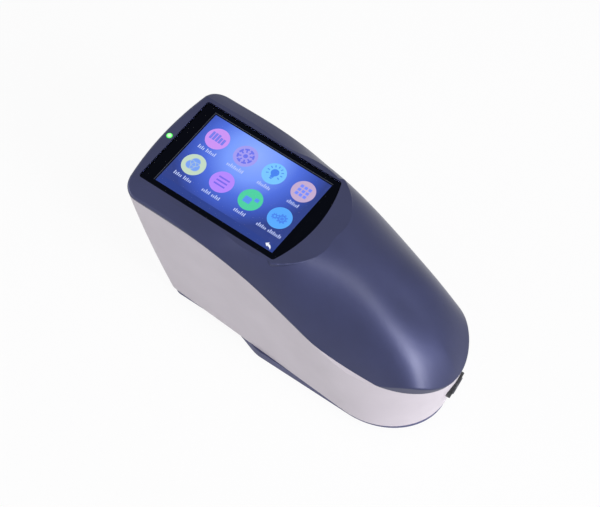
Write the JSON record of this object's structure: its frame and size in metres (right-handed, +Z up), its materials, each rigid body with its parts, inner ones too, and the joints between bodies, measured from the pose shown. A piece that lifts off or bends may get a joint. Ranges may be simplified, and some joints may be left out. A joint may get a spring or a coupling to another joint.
{
  "type": "color matching spectrophotometer",
  "caption": "Handheld colour measuring instrument: head over a round measuring port, tilted colour display on top, sloping grip with a measure button on its end.",
  "frame": {"origin": "on the bench, under the middle of the instrument's length and width", "axes": "+X from the head end to the grip end, +Z up, +Y to the side with the charging socket"},
  "size_m": [0.1833, 0.0772, 0.105],
  "materials": {
    "dark_shell": "satin paint, blue-grey",
    "pale_shell": "fine satin texture, pale grey",
    "dark_base": "satin, blue-grey",
    "cover_glass": "polished, black printed border",
    "display": "lit colour display",
    "sheet_steel": "bright zinc plate",
    "screw_steel": "zinc plate",
    "ribbon_film": "amber film",
    "status_lens": "lit green lens",
    "circuit_board": "green solder mask",
    "lamp_body": "white package",
    "brass": "turned",
    "chip_black": "moulded resin",
    "tin_can": "tin plate",
    "black_plastic": "moulded",
    "white_reflector": "white diffuse",
    "black_anodised": "black anodised",
    "lens_glass": "polished",
    "bare_aluminium": "machined",
    "mirror_glass": "coated",
    "cell_wrap": "shrink film",
    "bezel_black": "ridged, satin",
    "button_dark": "satin",
    "charge_lens": "clear lens",
    "pad_rubber": "soft"
  },
  "bodies": {
    "housing": {"top_shell": "dark_shell", "body_shell": "pale_shell", "bottom_tray": "dark_base", "display_glass": "cover_glass", "display_module": "display", "display_carrier": "sheet_steel", "display_screws": "screw_steel", "display_ribbon": "ribbon_film", "status_light": "status_lens", "status_board": "circuit_board", "status_lamp": "lamp_body", "board_standoffs": "brass", "main_board": "circuit_board", "board_screws": "screw_steel", "board_chips": "chip_black", "radio_module": "tin_can", "buzzer": "black_plastic", "sphere_lower": "white_reflector", "sphere_upper": "white_reflector", "sphere_screws": "screw_steel", "foot_screws": "screw_steel", "lens_tube": "black_anodised", "collecting_lens": "lens_glass", "lamp_holder": "black_plastic", "lamp_board": "circuit_board", "lamp_leds": "lamp_body", "heat_sink": "bare_aluminium", "optics_deck": "bare_aluminium", "deck_posts": "brass", "deck_screws": "screw_steel", "fold_block": "black_anodised", "fold_mirror": "mirror_glass", "camera_module": "black_plastic", "spectrometer_box": "black_anodised", "spectrometer_lid": "black_anodised", "slit_plate": "black_anodised", "concave_grating": "mirror_glass", "sensor_board": "circuit_board", "battery_cradle": "black_plastic", "battery_cells": "cell_wrap", "battery_strap": "sheet_steel", "port_board": "circuit_board", "charge_socket": "tin_can", "socket_tongue": "black_plastic", "switch_body": "tin_can", "button_bezel": "bezel_black", "button_board": "circuit_board", "button_switch": "black_plastic", "charge_light": "charge_lens", "rubber_pads": "pad_rubber", "tray_screws": "screw_steel", "case_screws": "screw_steel"},
    "measure_button": {"measure_button": "button_dark"},
    "power_knob": {"power_knob": "black_plastic"},
    "aperture_ring": {"aperture_ring": "black_anodised"}
  },
  "joints": [
    {"name": "measure_press", "type": "slide", "parent": "housing", "child": "measure_button", "axis": [-0.9651, -0.1356, 0.2242], "range_m": [0, 0.0006], "stiffness_N_per_m": 2500, "springref_m": -0.0004},
    {"name": "power_slide", "type": "slide", "parent": "housing", "child": "power_knob", "axis": [1, 0, 0], "range_m": [0, 0.003]},
    {"name": "ring_turn", "type": "hinge", "parent": "housing", "child": "aperture_ring", "pos_m": [-0.05275, 0, 0], "axis": [0, 0, 1], "range_deg": [0, 40]}
  ]
}
